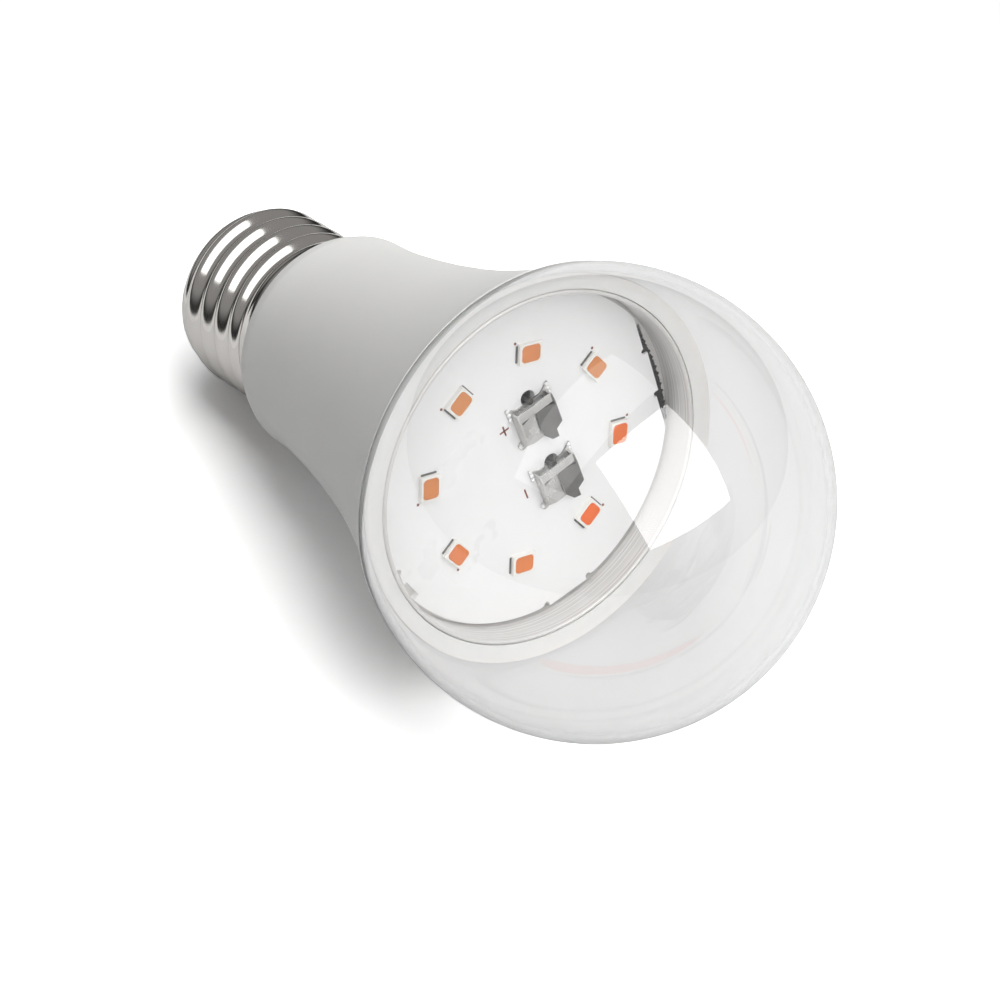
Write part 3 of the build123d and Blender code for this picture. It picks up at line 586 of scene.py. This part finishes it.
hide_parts("cap_shell")
black_moulding = finish_of("black_moulding", (0.012, 0.012, 0.013), (0.02, 0.02, 0.02), (0.2, 0.35),
                           patches=200)
dress("cap_insulator", black_moulding)
contact_metal = finish_of("contact_nickel", (0.66, 0.63, 0.58), (0.5, 0.47, 0.43), (0.2, 0.35), patches=400,
                          grains=1500, relief=0.1, Metallic=1.0)
dress("tip_contact", contact_metal)

# The globe: one clear blow-moulded ball, thinned at its edge so that it drops into the housing's
# socket, and held there by a bead of white silicone round the cup's lip. It lets most of the lamps'
# light straight through, and its wall tints what is seen edge on.
GLOBE_WALL = 1.2 * MM
BEAD_RISE = 1.2 * MM
BEAD_FOOT = 0.72 * MM
BEAD_STEPS = 8
CROWN_SAG = 0.12 * MM
CROWN_STEPS = 12
silicone = finish_of("white_silicone", (0.90, 0.87, 0.84), (0.86, 0.83, 0.80), (0.3, 0.45), patches=300,
                     grains=1500, relief=0.15, Subsurface_Weight=0.1)
bead_outer = GLOBE_RADIUS - GLOBE_WALL - FIT
bead_inner = CUP_OUTER_RADIUS + FIT
bead_high = rim_height + BEAD_RISE
bead_low = rim_height + BEAD_FOOT
bead_points = ball_span(bead_outer, ledge_height, bead_high, BEAD_STEPS)
crown_outer = bead_points[-1][0]
outline = [(bead_inner, ledge_height)] + bead_points
for step in range(1, CROWN_STEPS + 1):
    share = step / CROWN_STEPS
    height = bead_high + (bead_low - bead_high) * share - CROWN_SAG * sin(pi * share)
    outline.append((crown_outer - (crown_outer - bead_inner) * share, height))
bead_bm = bmesh.new()
turned(bead_bm, outline)
bead = finished(bead_bm, "silicone_bead", silicone)
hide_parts("globe_seal")

POLE_ANGLE = 90.0
ARC_STEPS = 72
GLASS_TINT = (0.955, 0.955, 0.955, 1)
GLASS_IOR = 1.49
LAMP_LIGHT_LET_THROUGH = (0.88, 0.88, 0.88, 1)
WALL_TINT = (0.5, 0.5, 0.5, 1)
WALL_DENSITY = 14.0
thinned_radius = GLOBE_RADIUS - REBATE_DEPTH
edge_height = rim_height - REBATE_HEIGHT
inner_radius = GLOBE_RADIUS - GLOBE_WALL


def ball_angle(radius, height):
    """Angle in degrees of a height on a ball's section."""
    return asin((height - globe_centre) / radius) * 180 / pi


centre = (0, globe_centre)
outline = arc(centre, GLOBE_RADIUS, POLE_ANGLE, ball_angle(GLOBE_RADIUS, rim_height), ARC_STEPS)
outline += ball_span(thinned_radius, rim_height, edge_height, REBATE_STEPS)
outline += arc(centre, inner_radius, ball_angle(inner_radius, edge_height), POLE_ANGLE, ARC_STEPS)
globe_bm = bmesh.new()
turned(globe_bm, outline, closed=False)


def blended(tree, share, first, second):
    """The shader between two others, by the share of the second, a plain number or a socket."""
    mix = tree.nodes.new("ShaderNodeMixShader")
    if isinstance(share, float):
        mix.inputs["Fac"].default_value = share
    else:
        tree.links.new(share, mix.inputs["Fac"])
    tree.links.new(first, mix.inputs[1])
    tree.links.new(second, mix.inputs[2])
    return mix.outputs["Shader"]


clear = bpy.data.materials.new("clear_globe")
clear.use_nodes = True
tree = clear.node_tree
clear_shader = tree.nodes["Principled BSDF"]
clear_shader.inputs["Base Color"].default_value = GLASS_TINT
clear_shader.inputs["Roughness"].default_value = 0.0
clear_shader.inputs["IOR"].default_value = GLASS_IOR
clear_shader.inputs["Transmission Weight"].default_value = 1.0
rays = tree.nodes.new("ShaderNodeLightPath").outputs
let_through = tree.nodes.new("ShaderNodeBsdfTransparent")
let_through.inputs["Color"].default_value = LAMP_LIGHT_LET_THROUGH
wall_tint = tree.nodes.new("ShaderNodeVolumeAbsorption")
wall_tint.inputs["Color"].default_value = WALL_TINT
wall_tint.inputs["Density"].default_value = WALL_DENSITY
glass = blended(tree, rays["Is Shadow Ray"], clear_shader.outputs["BSDF"], let_through.outputs["BSDF"])
tree.links.new(glass, tree.nodes["Material Output"].inputs["Surface"])
tree.links.new(wall_tint.outputs["Volume"], tree.nodes["Material Output"].inputs["Volume"])
globe = finished(globe_bm, "clear_ball", clear)
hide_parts("globe")

# The floor: a pale matt sheet that the lamp lies on, touching the globe and the first crest of the
# thread. To the camera it is plain white where nothing shades it. It keeps the lamp's shadow, and
# it isn't seen from below.
CREST_HEIGHT = 8.96 * MM
ROLL = radians(-11.15)
FLOOR_SIZE = 6.0
reach = sqrt((globe_centre - CREST_HEIGHT) ** 2 + CREST_RADIUS ** 2)
lean = asin(GLOBE_RADIUS / reach) - atan2(CREST_RADIUS, globe_centre - CREST_HEIGHT)
up = Vector((cos(lean) * cos(ROLL), cos(lean) * sin(ROLL), sin(lean)))
touch = Vector((0, 0, globe_centre)) - up * GLOBE_RADIUS
floor_bm = bmesh.new()
bmesh.ops.create_grid(floor_bm, x_segments=1, y_segments=1, size=FLOOR_SIZE)
floor_mesh = bpy.data.meshes.new("floor")
floor_bm.to_mesh(floor_mesh)
floor_bm.free()
floor_mesh.transform(Matrix.Translation(touch) @ up.to_track_quat("Z", "Y").to_matrix().to_4x4())
floor = bpy.data.objects.new("floor", floor_mesh)
bpy.context.scene.collection.objects.link(floor)

# The floor's white differs by who looks: the camera, the bulb that it lights, and the eye through the
# globe, where it is mostly an even white. Far from the bulb, beyond its shadow, it is plain white.
WHITENESS_SEEN = 1.75
WHITENESS = 0.74
WHITENESS_IN_GLASS = 0.80
EVEN_WHITENESS = 0.92
EVENNESS_IN_GLASS = 0.7
SHADE_HEIGHT = 60 * MM
SHADE_DROP = 20 * MM
SHADE_NEAR = 90 * MM
SHADE_FAR = 160 * MM


def matt(tree, whiteness):
    """A matt white that shows the light and the shadows on it."""
    shader = tree.nodes.new("ShaderNodeBsdfDiffuse")
    shader.inputs["Color"].default_value = (whiteness, whiteness, whiteness, 1)
    return shader.outputs["BSDF"]


def even(tree, whiteness):
    """A white that is the same in light and in shadow."""
    shader = tree.nodes.new("ShaderNodeEmission")
    shader.inputs["Strength"].default_value = whiteness
    return shader.outputs["Emission"]


paper = bpy.data.materials.new("white_floor")
paper.use_nodes = True
tree = paper.node_tree
tree.nodes.clear()
place = tree.nodes.new("ShaderNodeTexCoord")
from_bulb = tree.nodes.new("ShaderNodeVectorMath")
from_bulb.operation = "DISTANCE"
from_bulb.inputs[1].default_value = Vector((0, 0, SHADE_HEIGHT)) - up * SHADE_DROP
tree.links.new(place.outputs["Object"], from_bulb.inputs[0])
farness = tree.nodes.new("ShaderNodeMapRange")
farness.interpolation_type = "SMOOTHSTEP"
farness.inputs["From Min"].default_value = SHADE_NEAR
farness.inputs["From Max"].default_value = SHADE_FAR
tree.links.new(from_bulb.outputs["Value"], farness.inputs["Value"])
rays = tree.nodes.new("ShaderNodeLightPath").outputs
far_in_gloss = tree.nodes.new("ShaderNodeMath")
far_in_gloss.operation = "MULTIPLY"
tree.links.new(rays["Is Glossy Ray"], far_in_gloss.inputs[0])
tree.links.new(farness.outputs["Result"], far_in_gloss.inputs[1])
even_white = even(tree, EVEN_WHITENESS)
seen = blended(tree, farness.outputs["Result"], matt(tree, WHITENESS_SEEN), even(tree, 1.0))
unseen = blended(tree, far_in_gloss.outputs["Value"], matt(tree, WHITENESS), even_white)
in_glass = blended(tree, EVENNESS_IN_GLASS, matt(tree, WHITENESS_IN_GLASS), even_white)
glass_or_not = blended(tree, rays["Is Transmission Ray"], unseen, in_glass)
upper_face = blended(tree, rays["Is Camera Ray"], glass_or_not, seen)
lower_face = tree.nodes.new("ShaderNodeBsdfTransparent")
side_seen = tree.nodes.new("ShaderNodeNewGeometry")
both_faces = blended(tree, side_seen.outputs["Backfacing"], upper_face, lower_face.outputs["BSDF"])
paper_out = tree.nodes.new("ShaderNodeOutputMaterial")
tree.links.new(both_faces, paper_out.inputs["Surface"])
floor_mesh.materials.append(paper)

# The camera: a long lens that looks down on the lamp from the globe's end, placed and turned as the
# photograph's was.
CAMERA_PLACE = Vector((248.3, 136.15, 360.43)) * MM
CAMERA_AIM = Vector((3.92, 8.95, 77.37)) * MM
CAMERA_UP = Vector((0.73206, -0.56734, -0.37709))
LENS = 114.64
camera = bpy.data.objects.new("camera", bpy.data.cameras.new("camera"))
camera.data.lens = LENS
camera.data.clip_start = 0.01
camera.data.clip_end = 20
forward = (CAMERA_AIM - CAMERA_PLACE).normalized()
image_right = forward.cross(CAMERA_UP).normalized()
image_up = image_right.cross(forward)
turn = Matrix((image_right, image_up, -forward)).transposed().to_4x4()
camera.matrix_world = Matrix.Translation(CAMERA_PLACE) @ turn
bpy.context.scene.collection.objects.link(camera)
bpy.context.scene.camera = camera
bpy.context.scene.view_settings.view_transform = "Standard"

# The light: a big soft lamp over the bulb, a little to its right and back, and a smaller one in front
# on the right. Two boxes show only as reflections: one in front, which is the bright patch on the
# globe, and a long one overhead, which is the streak on each turn of the thread.
AIM = Vector((0, 0, 80 * MM))
floor_right = (image_right - up * image_right.dot(up)).normalized()
floor_back = up.cross(floor_right)


def soft_box(name, azimuth, elevation, distance, width, height, radiance, only_reflection=False):
    """An area lamp aimed at the bulb; azimuth runs from the picture's right towards its back."""
    turn_round = radians(azimuth)
    rise = radians(elevation)
    level = floor_right * cos(turn_round) + floor_back * sin(turn_round)
    direction = level * cos(rise) + up * sin(rise)
    lamp = bpy.data.lights.new(name, "AREA")
    lamp.shape = "RECTANGLE"
    lamp.size = width
    lamp.size_y = height
    lamp.energy = radiance * pi * width * height
    lamp_object = bpy.data.objects.new(name, lamp)
    side = up.cross(direction).normalized()
    top = direction.cross(side)
    facing = Matrix((side, top, direction)).transposed().to_4x4()
    lamp_object.matrix_world = Matrix.Translation(AIM + direction * distance) @ facing
    lamp_object.visible_camera = False
    lamp_object.visible_transmission = False
    lamp_object.visible_diffuse = not only_reflection
    lamp_object.visible_glossy = only_reflection
    bpy.context.scene.collection.objects.link(lamp_object)


soft_box("overhead", azimuth=38, elevation=73, distance=0.8, width=0.76, height=0.76, radiance=3.0)
soft_box("front", azimuth=-42, elevation=43, distance=0.5, width=0.42, height=0.42, radiance=3.2)
soft_box("front_reflection", azimuth=-43, elevation=46, distance=0.5, width=0.43, height=0.46, radiance=9.0,
         only_reflection=True)
soft_box("top_reflection", azimuth=-130, elevation=78, distance=0.6, width=0.30, height=0.86, radiance=1.7,
         only_reflection=True)

# The room: white to the camera and through the globe, and a weak even light on everything. In gloss
# it is a dark room that grows paler overhead, which draws the dark bands on the cap.
ROOM_TINT = (1, 0.985, 0.97, 1)
DARK_BELOW = 0.12
PALE_ABOVE = 0.42
ROOM_DARK = 0.02
ROOM_PALE = 0.32
FILL_STRENGTH = 0.16
WHITE = (1, 1, 1, 1)
world = bpy.data.worlds.new("studio")
bpy.context.scene.world = world
world.use_nodes = True
tree = world.node_tree
tree.nodes.clear()


def surroundings(tree, colour, strength):
    """What one kind of ray finds where it leaves the scene."""
    background = tree.nodes.new("ShaderNodeBackground")
    background.inputs["Color"].default_value = colour
    background.inputs["Strength"].default_value = strength
    return background


direction = tree.nodes.new("ShaderNodeTexCoord")
rise = tree.nodes.new("ShaderNodeVectorMath")
rise.operation = "DOT_PRODUCT"
rise.inputs[1].default_value = up
tree.links.new(direction.outputs["Generated"], rise.inputs[0])
paleness = tree.nodes.new("ShaderNodeMapRange")
paleness.interpolation_type = "SMOOTHSTEP"
paleness.inputs["From Min"].default_value = DARK_BELOW
paleness.inputs["From Max"].default_value = PALE_ABOVE
paleness.inputs["To Min"].default_value = ROOM_DARK
paleness.inputs["To Max"].default_value = ROOM_PALE
tree.links.new(rise.outputs["Value"], paleness.inputs["Value"])
room = surroundings(tree, ROOM_TINT, ROOM_PALE)
tree.links.new(paleness.outputs["Result"], room.inputs["Strength"])
fill_light = surroundings(tree, WHITE, FILL_STRENGTH)
backdrop = surroundings(tree, WHITE, 1.0)
rays = tree.nodes.new("ShaderNodeLightPath").outputs
open_view = tree.nodes.new("ShaderNodeMath")
open_view.operation = "MAXIMUM"
tree.links.new(rays["Is Camera Ray"], open_view.inputs[0])
tree.links.new(rays["Is Transmission Ray"], open_view.inputs[1])
lit_or_gloss = blended(tree, rays["Is Glossy Ray"], fill_light.outputs["Background"],
                       room.outputs["Background"])
all_rays = blended(tree, open_view.outputs["Value"], lit_or_gloss, backdrop.outputs["Background"])
world_out = tree.nodes.new("ShaderNodeOutputWorld")
tree.links.new(all_rays, world_out.inputs["Surface"])
